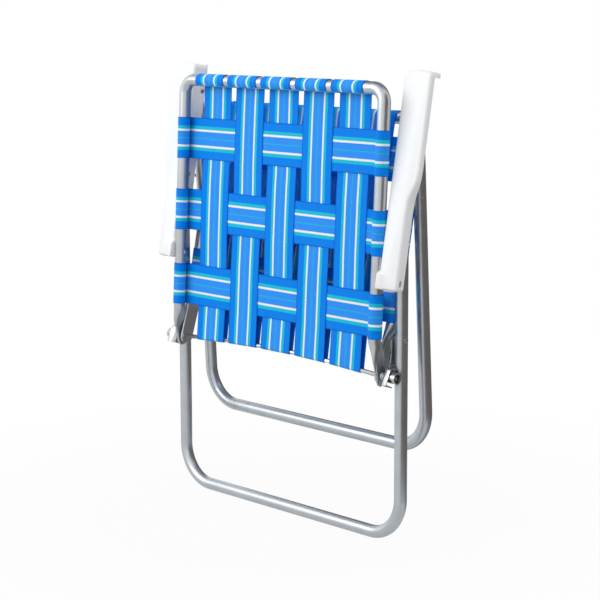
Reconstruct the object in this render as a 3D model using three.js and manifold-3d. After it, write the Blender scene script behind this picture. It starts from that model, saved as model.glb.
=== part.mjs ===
// Folding webbed lawn chair, folded flat and standing on its rear leg, in millimetres.
// X runs across the chair, +Y is the front of the chair and +Z is up.
// Points in the side view are [y, z], measured from the middle of the rear leg's foot bar.
import * as THREE from 'three';
import { mergeVertices } from 'three/addons/utils/BufferGeometryUtils.js';
import Module from 'manifold-3d';

const wasm = await Module();
wasm.setup();

// Tubing and general fits
const tubeRadius = 11.1;
const tubeWall = 1.2;
const clearance = 0.3;
const overrun = 6;
const tubeSides = 14;
const bendSteps = 5;

// Webbing
const webWidth = 76.2;
const webThickness = 0.8;
const backCrossHeights = [660.3, 527.2, 387.3];
const seatCrossHeights = [643, 520, 410];
const webColumns = 5;
const webSideGap = 41.96;
const wrapSteps = 11;
const rodWrapSteps = 4;
const barWrapAngle = THREE.MathUtils.degToRad(228);
const sideWrapAngle = THREE.MathUtils.degToRad(268);

// Side view of the four frames: where each cross bar lies and how its legs lean
const rearBar = [0, 0];
const frontBar = [66.5, 145];
const backBar = [-14, 767.3];
const seatBar = [66.6, 714];
const frontLean = Math.atan(-0.051);
const backLean = Math.atan(0.052);
const seatLean = Math.atan(0.183);
const rearBend = 70;
const frontBend = 68;
const backBend = 25;
const seatBend = 32;

// Side view of the pivots
const armRearPivot = [0, 590];
const linkPivot = [0, 347];
const hinge = [-24, 285];
const seatPivot = [40.5, 583];
const linkageOffset = [-4.5, 161];
const armFrontPivot = [seatPivot[0] + linkageOffset[0], seatPivot[1] + linkageOffset[1]];
const armBackPivot = [hinge[0] + linkageOffset[0], hinge[1] + linkageOffset[1]];
const legEndPastPivot = 7;

// Flattened ends of the back and seat tubes at the hinge
const flatThickness = 4.4;
const seatFlatStart = 371;
const seatFlatEnd = 349;
const seatFlatWidth = 28;
const seatEndPast = 12;
const seatEndOffset = 4;
const backKink = 347;
const backFlatStart = 331;
const backFlatEnd = 309;
const backFlatWidth = 25;
const backEndPast = 17;
const backEndShift = 5.4;
const backEndOffset = 2;
const endGap = 1.8;
const flatShares = [0, 0.35, 0.7, 1];

// Rod across the hinge, with a journal at each end
const rodRadius = 3.9;
const journalRadius = 3.2;
const rodBow = 10;
const journalTip = 4;

// Link plates and the channel clips on them
const linkThickness = 2;
const linkRadius = 9.5;
const linkEndRadius = 7;
const linkFlange = 4;
const linkFlangeShare = 0.72;
const linkCrank = [17.5, 6];
const linkRivetPlace = [20.5, 17];
const linkRivetRadius = 2.6;
const linkRivetHeight = 1;
const clipLength = 33;
const clipWidth = 28;
const clipDepth = 11.5;
const clipLip = 5;
const clipWall = 1.8;
const clipSideRound = 11;
const clipTopRound = 9;
const clipEdgeRound = 3;
const clipNotch = 8;
const clipNotchShift = 3;
const clipBeadPlace = 12;
const clipBeadRadius = 1;
const clipBeadDepth = 0.7;
const clipSteps = 4;
const clipTilt = Math.atan(0.45);

// Rivets, bolts and nuts
const rivetRadius = 3;
const rivetHeadRadius = 5;
const rivetHeadHeight = 2;
const boltHeadRadius = 6;
const boltHeadHeight = 3.2;
const boltCollarRadius = 6.3;
const nutRadius = 7;
const nutHeight = 3.4;
const washerThickness = 1.8;
const washerRadius = 8;
const roundSides = 10;
const domeSteps = 3;
const arcSteps = 5;

// Arm rests, moulded channels open underneath
const armWall = 2.5;
const armWidth = 62;
const armNarrow = 43.5;
const armFront = 4;
const armRear = 364;
const armAboveFrontPivot = 51;
const armBehindFrontPivot = 17;
const armLean = Math.atan(0.1755);
const armCorner = 9;
const armEdgeRound = 5.5;
const armRearRound = 6.5;
const armFrontBow = 2;
const armWideEnd = 160;
const armNarrowStart = 230;
const innerSkirt = 32;
const outerSkirtFront = 9.5;
const outerSkirtRear = 18;
const frontWallDepth = 30;
const frontWallRound = 13;
const frontWallTip = 5;
const bossLength = 33;
const bossEase = 7;
const bossGap = 0.3;
const slotLength = 12;
const slotWidth = 6;
const slotFromEnd = 13;
const slotDepth = 10;

// Widths across the chair, built up from the back frame outwards
const backHalf = 260.2;
const webPitch = (backHalf - webSideGap - webWidth / 2) / ((webColumns - 1) / 2);
const columnNumbers = Array.from({ length: webColumns }, (_, i) => i - (webColumns - 1) / 2);
const armInner = backHalf + tubeRadius + webThickness + 2 * clearance;
const skirtOuter = armInner + armWall;
const frontHalf = skirtOuter + clearance + tubeRadius;
const rearHalf = skirtOuter + clearance + washerThickness + tubeRadius;
const seatHalf = frontHalf - 2 * tubeRadius - webThickness - 2 * clearance;
const backEndHalf = backHalf + backEndShift;
const seatEndHalf = backEndHalf - flatThickness - endGap;
const linkOuter = rearHalf - tubeRadius - clearance;
const linkInner = linkOuter - linkFlange;
const clipInner = linkInner + linkThickness + clearance;
const clipOuter = clipInner + clipWidth;
const rodHalf = seatEndHalf - flatThickness / 2 - clearance;
const journalHalf = clipOuter - journalTip;

const metal = { color: 0xa4a9ae, roughness: 0.38, metalness: 0.9 };
const zinc = { color: 0xc9ccce, roughness: 0.3, metalness: 0.95 };
const plastic = { color: 0xf2f4f7, roughness: 0.45, metalness: 0 };
const fabric = { color: 0x1e74ee, roughness: 0.6, metalness: 0 };

const chair = new THREE.Group();

function addMesh(name, geometry, look) {
  const mesh = new THREE.Mesh(geometry, new THREE.MeshStandardMaterial(look));
  mesh.name = name;
  chair.add(mesh);
  return mesh;
}

// Closed body from shared vertices, wound so that its faces point outwards
function closedBody(points, triangles) {
  let volume = 0;
  for (const [a, b, c] of triangles) {
    volume += points[a].dot(points[b].clone().cross(points[c]));
  }
  const geometry = new THREE.BufferGeometry();
  const flat = points.flatMap((point) => [point.x, point.y, point.z]);
  geometry.setAttribute('position', new THREE.Float32BufferAttribute(flat, 3));
  const wound = volume < 0 ? triangles.map(([a, b, c]) => [a, c, b]) : triangles;
  geometry.setIndex(wound.flat());
  geometry.computeVertexNormals();
  return geometry;
}

function toManifold(geometry) {
  const bare = geometry.clone();
  bare.deleteAttribute('normal');
  bare.deleteAttribute('uv');
  const merged = mergeVertices(bare);
  const vertProperties = new Float32Array(merged.attributes.position.array);
  const triVerts = new Uint32Array(merged.index.array);
  return new wasm.Manifold(new wasm.Mesh({ numProp: 3, vertProperties, triVerts }));
}

function toGeometry(manifold) {
  const mesh = manifold.getMesh();
  const geometry = new THREE.BufferGeometry();
  geometry.setAttribute('position', new THREE.BufferAttribute(mesh.vertProperties, 3));
  geometry.setIndex(new THREE.BufferAttribute(mesh.triVerts, 1));
  geometry.computeVertexNormals();
  return geometry;
}

function cut(geometry, cutters) {
  let solid = toManifold(geometry);
  for (const cutter of cutters) {
    solid = solid.subtract(toManifold(cutter));
  }
  return toGeometry(solid);
}

// The same piece on the other side of the chair
function mirrored(geometry) {
  const copy = geometry.clone();
  copy.applyMatrix4(new THREE.Matrix4().makeScale(-1, 1, 1));
  const index = copy.index.array;
  for (let i = 0; i < index.length; i += 3) {
    const second = index[i + 1];
    index[i + 1] = index[i + 2];
    index[i + 2] = second;
  }
  copy.computeVertexNormals();
  return copy;
}

function addPair(name, geometry, look) {
  addMesh(`${name}_right`, geometry, look);
  addMesh(`${name}_left`, mirrored(geometry), look);
}

// Cylinder along X through a side-view point
function crossCylinder(radius, fromX, toX, [y, z]) {
  const geometry = new THREE.CylinderGeometry(radius, radius, toX - fromX, roundSides);
  geometry.rotateZ(Math.PI / 2);
  geometry.translate((fromX + toX) / 2, y, z);
  return geometry;
}

// Holes on both sides of the chair, between two distances from its middle
function pairOfHoles(radius, fromX, toX, point) {
  return [crossCylinder(radius, fromX, toX, point), crossCylinder(radius, -toX, -fromX, point)];
}

// Turned piece whose axis lies along X, from a profile of [distance along X, radius]
function turned(profile, point) {
  const outline = profile.map(([x, radius]) => new THREE.Vector2(radius, x));
  const geometry = new THREE.LatheGeometry(outline, roundSides);
  geometry.rotateZ(-Math.PI / 2);
  geometry.translate(0, point[0], point[1]);
  const bare = geometry.clone();
  bare.deleteAttribute('normal');
  bare.deleteAttribute('uv');
  const merged = mergeVertices(bare);
  const triangles = [];
  for (let i = 0; i < merged.index.count; i += 3) {
    triangles.push([merged.index.getX(i), merged.index.getX(i + 1), merged.index.getX(i + 2)]);
  }
  const points = [];
  for (let i = 0; i < merged.attributes.position.count; i += 1) {
    points.push(new THREE.Vector3().fromBufferAttribute(merged.attributes.position, i));
  }
  const sound = triangles.filter(([a, b, c]) => a !== b && b !== c && c !== a);
  return closedBody(points, sound);
}

// Dome from the shaft's side out to its crown, facing along X by its sign
function domeProfile(baseX, radius, height, sign) {
  const profile = [];
  for (let step = 0; step <= domeSteps; step += 1) {
    const angle = (Math.PI / 2) * (step / domeSteps);
    profile.push([baseX + sign * height * Math.sin(angle), radius * Math.cos(angle)]);
  }
  profile[domeSteps][1] = 0;
  return profile;
}

// Rivet with a dome at both ends and, where wanted, a washer between the pieces
function rivetGeometry(fromX, toX, point, washerX) {
  const inner = domeProfile(fromX, rivetHeadRadius, rivetHeadHeight, -1).reverse();
  const outer = domeProfile(toX, rivetHeadRadius, rivetHeadHeight, 1);
  const washer = washerX === undefined ? [] : [
    [washerX, rivetRadius],
    [washerX, washerRadius],
    [washerX + washerThickness - clearance, washerRadius],
    [washerX + washerThickness - clearance, rivetRadius],
  ];
  return turned([...inner, [fromX, rivetRadius], ...washer, [toX, rivetRadius], ...outer], point);
}

// Hollow tube lofted through stations: a centre, half its size across and half along the normal
function loftedTube(stations, planeNormal) {
  const points = [];
  const rings = [];
  stations.forEach((station, i) => {
    const before = stations[Math.max(i - 1, 0)].at;
    const after = stations[Math.min(i + 1, stations.length - 1)].at;
    const tangent = after.clone().sub(before).normalize();
    const across = planeNormal.clone().cross(tangent).normalize();
    const normal = tangent.clone().cross(across);
    for (const inset of [0, tubeWall]) {
      const ring = [];
      for (let side = 0; side < tubeSides; side += 1) {
        const angle = (2 * Math.PI * side) / tubeSides;
        const point = station.at.clone();
        point.addScaledVector(across, (station.across - inset) * Math.cos(angle));
        point.addScaledVector(normal, (station.along - inset) * Math.sin(angle));
        ring.push(points.length);
        points.push(point);
      }
      rings.push(ring);
    }
  });
  const triangles = [];
  const bridge = (a, b) => {
    for (let side = 0; side < tubeSides; side += 1) {
      const next = (side + 1) % tubeSides;
      triangles.push([a[side], a[next], b[next]], [a[side], b[next], b[side]]);
    }
  };
  const last = rings.length - 2;
  for (let i = 0; i < last; i += 2) {
    bridge(rings[i], rings[i + 2]);
    bridge(rings[i + 3], rings[i + 1]);
  }
  bridge(rings[1], rings[0]);
  bridge(rings[last], rings[last + 1]);
  return closedBody(points, triangles);
}

// A leaf is the plane of a U frame: its bar, the way its legs run and its normal
function makeLeaf(bar, lean, legSign) {
  const run = new THREE.Vector3(0, legSign * Math.sin(lean), legSign * Math.cos(lean));
  const normal = new THREE.Vector3(0, Math.cos(lean), -Math.sin(lean));
  return { origin: new THREE.Vector3(0, bar[0], bar[1]), run, normal };
}

function leafPoint(leaf, x, along, off) {
  const point = leaf.origin.clone();
  point.x = x;
  point.addScaledVector(leaf.run, along);
  return point.addScaledVector(leaf.normal, off);
}

function alongLeaf(leaf, z) {
  return (z - leaf.origin.z) / leaf.run.z;
}

const rearLeaf = makeLeaf(rearBar, 0, 1);
const frontLeaf = makeLeaf(frontBar, frontLean, 1);
const backLeaf = makeLeaf(backBar, backLean, -1);
const seatLeaf = makeLeaf(seatBar, seatLean, -1);

// Stations of half a U frame, from the middle of its bar to the end of its right leg
function legStations(leaf, half, bend, endAlong, endStations) {
  const stations = [];
  const add = (x, along) => {
    stations.push({ at: leafPoint(leaf, x, along, 0), across: tubeRadius, along: tubeRadius });
  };
  for (let step = 0; step <= bendSteps; step += 1) {
    const angle = (Math.PI / 2) * (step / bendSteps);
    add(half - bend + bend * Math.sin(angle), bend - bend * Math.cos(angle));
  }
  add(half, endAlong);
  return stations.concat(endStations);
}

// Whole U frame from the stations of its right half
function frameGeometry(leaf, half, bend, endAlong, endStations = []) {
  const right = legStations(leaf, half, bend, endAlong, endStations);
  const left = right.map((station) => {
    const at = station.at.clone();
    at.x = -at.x;
    return { at, across: station.across, along: station.along };
  });
  return loftedTube([...left.reverse(), ...right], leaf.normal);
}

// Stations of an end that is pressed flat from its start to its corner, then runs to the hinge
function flattenedEnd(start, corner, endCentre, width, past) {
  const direction = endCentre.clone().sub(corner).normalize();
  const stations = flatShares.map((share) => ({
    at: start.clone().lerp(corner, share),
    across: THREE.MathUtils.lerp(tubeRadius, flatThickness / 2, share),
    along: THREE.MathUtils.lerp(tubeRadius, width / 2, share),
  }));
  const addEnd = (beyond, along) => {
    const at = endCentre.clone().addScaledVector(direction, beyond);
    stations.push({ at, across: flatThickness / 2, along });
  };
  addEnd(past - flatThickness, width / 2);
  addEnd(past, width / 2 - flatThickness);
  return stations.slice(1);
}

// Rear and front legs: plain U frames that end inside the arms
function addLegs() {
  const rearEnd = armRearPivot[1] + legEndPastPivot;
  const frontEnd = armFrontPivot[1] + legEndPastPivot;
  const hole = rivetRadius + clearance;
  const through = (half, point) => {
    return pairOfHoles(hole, half - tubeRadius - overrun, half + tubeRadius + overrun, point);
  };
  const rear = frameGeometry(rearLeaf, rearHalf, rearBend, alongLeaf(rearLeaf, rearEnd));
  const front = frameGeometry(frontLeaf, frontHalf, frontBend, alongLeaf(frontLeaf, frontEnd));
  const rearHoles = [...through(rearHalf, armRearPivot), ...through(rearHalf, linkPivot)];
  const frontHoles = [...through(frontHalf, armFrontPivot), ...through(frontHalf, seatPivot)];
  addMesh('rear_leg', cut(rear, rearHoles), metal);
  addMesh('front_leg', cut(front, frontHoles), metal);
}

// Back and seat: U frames whose ends are pressed flat for the hinge
function addLeaves() {
  const hole = rivetRadius + clearance;
  const journalHole = journalRadius + clearance;
  const ends = (half, point) => {
    return pairOfHoles(journalHole, half - flatThickness, half + flatThickness, point);
  };
  const through = (half, point) => {
    return pairOfHoles(hole, half - tubeRadius - overrun, half + tubeRadius + overrun, point);
  };
  const backAlong = alongLeaf(backLeaf, backKink);
  const kink = leafPoint(backLeaf, backHalf, backAlong, 0);
  const backCentre = new THREE.Vector3(backEndHalf, hinge[0] - backEndOffset, hinge[1]);
  const onBackEnd = (z) => {
    const point = kink.clone().lerp(backCentre, (backKink - z) / (backKink - hinge[1]));
    point.x = backEndHalf;
    return point;
  };
  const backStart = { at: onBackEnd(backFlatStart), across: tubeRadius, along: tubeRadius };
  const backEnd = flattenedEnd(
    backStart.at, onBackEnd(backFlatEnd), backCentre, backFlatWidth, backEndPast,
  );
  const back = frameGeometry(backLeaf, backHalf, backBend, backAlong, [backStart, ...backEnd]);
  const seatAlong = alongLeaf(seatLeaf, seatFlatStart);
  const seatStart = leafPoint(seatLeaf, seatHalf, seatAlong, 0);
  const seatCorner = leafPoint(seatLeaf, seatEndHalf, alongLeaf(seatLeaf, seatFlatEnd), 0);
  const seatCentre = new THREE.Vector3(seatEndHalf, hinge[0] + seatEndOffset, hinge[1]);
  const seatEnd = flattenedEnd(seatStart, seatCorner, seatCentre, seatFlatWidth, seatEndPast);
  const seat = frameGeometry(seatLeaf, seatHalf, seatBend, seatAlong, seatEnd);
  const backHoles = [...ends(backEndHalf, hinge), ...through(backHalf, armBackPivot)];
  const seatHoles = [...ends(seatEndHalf, hinge), ...through(seatHalf, seatPivot)];
  addMesh('back_frame', cut(back, backHoles), metal);
  addMesh('seat_frame', cut(seat, seatHoles), metal);
}

const wrapRadius = tubeRadius + clearance + webThickness / 2;
const rodWrapRadius = rodRadius + clearance + webThickness / 2;
const weave = (webThickness + clearance) / 2;

// Height of the rod's axis, which the taut webs bow upwards
function rodZ(x) {
  const share = x / rodHalf;
  return hinge[1] + rodBow * (1 - share * share);
}

// Two lines half a web's thickness to each side of a centre line
function thicken(line) {
  return line.map((point, i) => {
    const before = line[Math.max(i - 1, 0)];
    const after = line[Math.min(i + 1, line.length - 1)];
    const into = new THREE.Vector2().subVectors(point, before);
    const out = new THREE.Vector2().subVectors(after, point);
    if (into.lengthSq() === 0) into.copy(out);
    if (out.lengthSq() === 0) out.copy(into);
    const mean = into.normalize().add(out.normalize()).normalize();
    const normal = new THREE.Vector2(-mean.y, mean.x);
    const half = webThickness / 2 / Math.max(normal.dot(new THREE.Vector2(-out.y, out.x)), Math.SQRT1_2);
    return [point.clone().addScaledVector(normal, half), point.clone().addScaledVector(normal, -half)];
  });
}

// Closed strip of web from the centre lines of its columns, placed in space by a function
function webGeometry(columns, place) {
  const points = [];
  const grid = columns.map((column) => thicken(column.line).map((pair) => {
    return pair.map((point) => {
      points.push(place(column.at, point));
      return points.length - 1;
    });
  }));
  const triangles = [];
  const quad = (a, b, c, d) => triangles.push([a, b, c], [a, c, d]);
  const lastColumn = grid.length - 1;
  const lastRow = grid[0].length - 1;
  for (let c = 0; c < lastColumn; c += 1) {
    for (let i = 0; i < lastRow; i += 1) {
      quad(grid[c][i][0], grid[c][i + 1][0], grid[c + 1][i + 1][0], grid[c + 1][i][0]);
      quad(grid[c][i][1], grid[c + 1][i][1], grid[c + 1][i + 1][1], grid[c][i + 1][1]);
    }
    quad(grid[c][0][0], grid[c + 1][0][0], grid[c + 1][0][1], grid[c][0][1]);
    quad(grid[c][lastRow][0], grid[c][lastRow][1], grid[c + 1][lastRow][1], grid[c + 1][lastRow][0]);
  }
  for (let i = 0; i < lastRow; i += 1) {
    quad(grid[0][i][0], grid[0][i][1], grid[0][i + 1][1], grid[0][i + 1][0]);
    const edge = grid[lastColumn];
    quad(edge[i][0], edge[i + 1][0], edge[i + 1][1], edge[i][1]);
  }
  return closedBody(points, triangles);
}

// Arc of centre-line points about a tube, angles from the sitting side over the outer side
function wrapArc(radius, fromAngle, toAngle) {
  const arc = [];
  for (let step = 0; step <= wrapSteps; step += 1) {
    const angle = THREE.MathUtils.lerp(fromAngle, toAngle, step / wrapSteps);
    arc.push(new THREE.Vector2(-radius * Math.sin(angle), radius * Math.cos(angle)));
  }
  return arc;
}

// Centre line of a lengthwise web in its leaf: [along the leg, off the leaf], from the bar down
function lengthwiseLine(leaf, crossHeights, column, side) {
  const line = wrapArc(wrapRadius, barWrapAngle, 0);
  crossHeights.forEach((height, row) => {
    const middle = alongLeaf(leaf, height);
    const over = (column + row) % 2 === 0 ? weave : -weave;
    line.push(new THREE.Vector2(middle - webWidth / 2, wrapRadius + over));
    line.push(new THREE.Vector2(middle + webWidth / 2, wrapRadius + over));
  });
  return line.map((point) => leafPoint(leaf, 0, point.x, side * point.y));
}

// Lengthwise web's end round the rod, between two angles from +Y turning upwards
function rodArc(x, fromAngle, toAngle) {
  const arc = [];
  for (let step = 0; step <= rodWrapSteps; step += 1) {
    const angle = THREE.MathUtils.lerp(fromAngle, toAngle, step / rodWrapSteps);
    const y = hinge[0] + rodWrapRadius * Math.cos(angle);
    arc.push(new THREE.Vector2(y, rodZ(x) + rodWrapRadius * Math.sin(angle)));
  }
  return arc;
}

// Angles on the rod that each lengthwise web covers, from +Y turning upwards
const backRodAngles = [170, 252].map(THREE.MathUtils.degToRad);
const seatRodAngles = [2, -4].map(THREE.MathUtils.degToRad);

function lengthwiseWeb(leaf, crossHeights, column, side, rodAngles) {
  const centre = columnNumbers[column] * webPitch;
  const top = lengthwiseLine(leaf, crossHeights, column, side);
  const places = [centre - webWidth / 2, centre + webWidth / 2];
  const columns = places.map((x) => {
    const line = top.map((point) => new THREE.Vector2(point.y, point.z));
    return { at: x, line: line.concat(rodArc(x, rodAngles[0], rodAngles[1])) };
  });
  return webGeometry(columns, (x, point) => new THREE.Vector3(x, point.x, point.y));
}

// Centre line of a cross web in its leaf: [across the chair, off the leaf], left to right
function crossLine(half, row) {
  const rightArc = wrapArc(wrapRadius, 0, sideWrapAngle);
  const right = rightArc.map((point) => new THREE.Vector2(half - point.x, point.y));
  const left = right.map((point) => new THREE.Vector2(-point.x, point.y)).reverse();
  const middle = columnNumbers.flatMap((number, column) => {
    const centre = number * webPitch;
    const over = (column + row) % 2 === 0 ? -weave : weave;
    return [
      new THREE.Vector2(centre - webWidth / 2, wrapRadius + over),
      new THREE.Vector2(centre + webWidth / 2, wrapRadius + over),
    ];
  });
  return [...left, ...middle, ...right];
}

function crossWeb(leaf, half, height, row, side) {
  const middle = alongLeaf(leaf, height);
  const line = crossLine(half, row);
  const columns = [middle - webWidth / 2, middle + webWidth / 2].map((at) => ({ at, line }));
  return webGeometry(columns, (along, point) => leafPoint(leaf, point.x, along, side * point.y));
}

function addWebs() {
  columnNumbers.forEach((number, column) => {
    const back = lengthwiseWeb(backLeaf, backCrossHeights, column, 1, backRodAngles);
    const seat = lengthwiseWeb(seatLeaf, seatCrossHeights, column, -1, seatRodAngles);
    addMesh(`back_web_${column + 1}`, back, fabric);
    addMesh(`seat_web_${column + 1}`, seat, fabric);
  });
  backCrossHeights.forEach((height, row) => {
    addMesh(`back_cross_${row + 1}`, crossWeb(backLeaf, backHalf, height, row, 1), fabric);
  });
  seatCrossHeights.forEach((height, row) => {
    addMesh(`seat_cross_${row + 1}`, crossWeb(seatLeaf, seatHalf, height, row, -1), fabric);
  });
}

// Rod that both leaves turn on: bowed where the webs pull it, with a thin journal at each end
function addRod() {
  const places = columnNumbers.flatMap((number) => {
    return [-webWidth / 2, webWidth / 2].map((offset) => number * webPitch + offset);
  });
  const stations = places.map((x) => [x, rodZ(x), rodRadius]);
  const end = [
    [rodHalf - clearance, hinge[1], rodRadius],
    [rodHalf, hinge[1], journalRadius],
    [journalHalf, hinge[1], journalRadius],
  ];
  const start = end.map(([x, z, radius]) => [-x, z, radius]).reverse();
  const points = [];
  const rings = [...start, ...stations, ...end].map(([x, z, radius]) => {
    const ring = [];
    for (let side = 0; side < roundSides; side += 1) {
      const angle = (2 * Math.PI * side) / roundSides;
      const y = hinge[0] + radius * Math.cos(angle);
      ring.push(points.push(new THREE.Vector3(x, y, z + radius * Math.sin(angle))) - 1);
    }
    return ring;
  });
  const triangles = [];
  for (let side = 0; side < roundSides; side += 1) {
    const next = (side + 1) % roundSides;
    for (let i = 0; i < rings.length - 1; i += 1) {
      triangles.push([rings[i][side], rings[i][next], rings[i + 1][next]]);
      triangles.push([rings[i][side], rings[i + 1][next], rings[i + 1][side]]);
    }
  }
  for (let side = 1; side < roundSides - 1; side += 1) {
    const last = rings[rings.length - 1];
    triangles.push([rings[0][0], rings[0][side + 1], rings[0][side]]);
    triangles.push([last[0], last[side], last[side + 1]]);
  }
  addMesh('web_rod', closedBody(points, triangles), zinc);
}

// Turns a shape drawn as a side view, with y forwards and z up, to face along X
const sideView = new THREE.Matrix4().makeBasis(
  new THREE.Vector3(0, 1, 0), new THREE.Vector3(0, 0, 1), new THREE.Vector3(1, 0, 0),
);

function sideExtrusion(shape, fromX, toX) {
  const settings = { depth: toX - fromX, bevelEnabled: false, curveSegments: arcSteps };
  const geometry = new THREE.ExtrudeGeometry(shape, settings);
  geometry.applyMatrix4(sideView);
  geometry.translate(fromX, 0, 0);
  return geometry;
}

// Bar with round ends between two side-view points
function roundBar([fromY, fromZ], [toY, toZ], radius, fromX, toX) {
  const turn = Math.atan2(toZ - fromZ, toY - fromY);
  const quarter = Math.PI / 2;
  const shape = new THREE.Shape();
  shape.absarc(toY, toZ, radius, turn - quarter, turn + quarter, false);
  shape.absarc(fromY, fromZ, radius, turn + quarter, turn + 3 * quarter, false);
  return sideExtrusion(shape, fromX, toX);
}

// Cranked plate with a narrow flange along its rear edge and a small rivet
function linkGeometry() {
  const faceX = linkInner + linkThickness;
  const crank = [hinge[0] + linkCrank[0], hinge[1] + linkCrank[1]];
  const run = new THREE.Vector2(crank[0] - linkPivot[0], crank[1] - linkPivot[1]);
  const edge = new THREE.Vector2(run.y, -run.x).setLength(linkRadius - linkThickness / 2);
  const onEdge = (share) => [
    linkPivot[0] + run.x * share + edge.x, linkPivot[1] + run.y * share + edge.y,
  ];
  const rivet = [hinge[0] + linkRivetPlace[0], hinge[1] + linkRivetPlace[1]];
  let solid = toManifold(roundBar(linkPivot, crank, linkRadius, linkInner, faceX));
  const added = [
    roundBar(crank, hinge, linkEndRadius, linkInner, faceX),
    roundBar(onEdge(0), onEdge(linkFlangeShare), linkThickness / 2, linkInner, linkOuter),
    crossCylinder(linkRivetRadius, linkInner + clearance, faceX + linkRivetHeight, rivet),
  ];
  for (const geometry of added) {
    solid = solid.add(toManifold(geometry));
  }
  const holes = [
    crossCylinder(journalRadius + clearance, linkInner - overrun, linkOuter + overrun, hinge),
    crossCylinder(rivetRadius + clearance, linkInner - overrun, linkOuter + overrun, linkPivot),
  ];
  return cut(toGeometry(solid), holes);
}

// Section of the clip, inset by a wall: rounded on its inner side, nearly square on its outer side
function clipSection(inset, lip) {
  const sideX = clipInner + clipSideRound;
  const cornerX = clipOuter - clipEdgeRound;
  const cornerDepth = clipDepth - clipEdgeRound;
  const points = [new THREE.Vector2(clipInner + inset, -lip)];
  for (let step = 0; step <= clipSteps; step += 1) {
    const angle = (Math.PI / 2) * (step / clipSteps);
    const x = sideX - (clipSideRound - inset) * Math.cos(angle);
    points.push(new THREE.Vector2(x, (clipDepth - inset) * Math.sin(angle)));
  }
  for (let step = 0; step <= clipSteps; step += 1) {
    const angle = (Math.PI / 2) * (step / clipSteps);
    const radius = clipEdgeRound - inset;
    const x = cornerX + radius * Math.sin(angle);
    points.push(new THREE.Vector2(x, cornerDepth + radius * Math.cos(angle)));
  }
  points.push(new THREE.Vector2(clipOuter - inset, -lip));
  return new THREE.Shape(points);
}

// Solid cup of the clip about the hinge, with its long axis upright and its back towards -y
function clipBlock(inset, lip) {
  const half = clipLength / 2 - inset;
  const depth = clipDepth - inset;
  const settings = { depth: 2 * half, bevelEnabled: false };
  const channel = new THREE.ExtrudeGeometry(clipSection(inset, lip), settings);
  channel.translate(0, 0, -half);
  channel.rotateX(Math.PI);
  const top = clipTopRound - inset;
  const side = new THREE.Shape();
  side.moveTo(lip + clearance, -half);
  side.lineTo(-depth, -half);
  side.lineTo(-depth, half - top);
  side.absarc(top - depth, half - top, top, Math.PI, Math.PI / 2, true);
  side.lineTo(lip + clearance, half);
  const outline = sideExtrusion(side, clipInner - overrun, clipOuter + overrun);
  return toManifold(channel).intersect(toManifold(outline));
}

// Stamped cup that the rod's end reaches into, open towards the rear leg and notched on its outer side
function clipGeometry() {
  const cup = clipBlock(0, clipLip).subtract(clipBlock(clipWall, clipLip + overrun));
  const wallX = clipOuter - clipEdgeRound - clipWall;
  const centre = [clipNotchShift, 0];
  const open = [clipLip + clipNotch, -clipNotch];
  const bead = new THREE.CylinderGeometry(
    clipBeadRadius, clipBeadRadius, clipLength + overrun, roundSides,
  );
  bead.rotateX(Math.PI / 2);
  bead.translate(clipInner + clipBeadPlace, clipBeadDepth - clipDepth - clipBeadRadius, 0);
  const geometry = cut(toGeometry(cup), [
    roundBar(centre, open, clipNotch, wallX, clipOuter + overrun), bead,
  ]);
  geometry.rotateX(-clipTilt);
  geometry.translate(0, hinge[0], hinge[1]);
  const hole = journalRadius + clearance;
  return cut(geometry, [crossCylinder(hole, clipInner - overrun, clipInner + overrun, hinge)]);
}

function addLinks() {
  addPair('link', linkGeometry(), zinc);
  addPair('clip', clipGeometry(), zinc);
}

// Nut pressed on to the rod's journal, outside the back frame's end
function addNuts() {
  const fromX = backEndHalf + flatThickness / 2 + clearance;
  const bore = journalRadius + clearance;
  const profile = [[fromX, bore], [fromX, nutRadius]];
  for (let step = 1; step <= domeSteps; step += 1) {
    const angle = (Math.PI / 2) * (step / domeSteps);
    const x = fromX + nutHeight * Math.sin(angle);
    profile.push([x, bore + (nutRadius - bore) * Math.cos(angle)]);
  }
  profile[profile.length - 1][1] = bore;
  profile.push([fromX, bore]);
  addPair('hinge_nut', turned(profile, hinge), zinc);
}

function addFasteners() {
  const skirtFace = armInner - clearance;
  const rearOuter = rearHalf + tubeRadius + clearance;
  const frontOuter = frontHalf + tubeRadius + clearance;
  const washerX = skirtOuter + clearance;
  addPair('arm_rear_rivet', rivetGeometry(skirtFace, rearOuter, armRearPivot, washerX), zinc);
  addPair('arm_front_rivet', rivetGeometry(skirtFace, frontOuter, armFrontPivot), zinc);
  const backInner = backHalf - tubeRadius - clearance;
  addPair('arm_back_rivet', rivetGeometry(backInner, skirtOuter + clearance, armBackPivot), zinc);
  const seatInner = seatHalf - tubeRadius - clearance;
  addPair('seat_rivet', rivetGeometry(seatInner, frontOuter, seatPivot), zinc);
  const legInner = rearHalf - tubeRadius + clearance;
  const legProfile = [[legInner, 0], [legInner, rivetRadius], [rearOuter, rivetRadius]];
  legProfile.push(...domeProfile(rearOuter, rivetHeadRadius, rivetHeadHeight, 1));
  addPair('leg_rivet', turned(legProfile, linkPivot), zinc);
  const boltBase = linkInner - clearance;
  const boltProfile = [
    [boltBase - boltHeadHeight, 0],
    [boltBase - boltHeadHeight, boltHeadRadius],
    [boltBase, boltHeadRadius],
    [boltBase, rivetRadius],
    [linkInner + linkThickness + clearance, rivetRadius],
    [linkInner + linkThickness + clearance, boltCollarRadius],
    [linkOuter, boltCollarRadius],
    [linkOuter, 0],
  ];
  addPair('link_bolt', turned(boltProfile, linkPivot), zinc);
}

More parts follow.
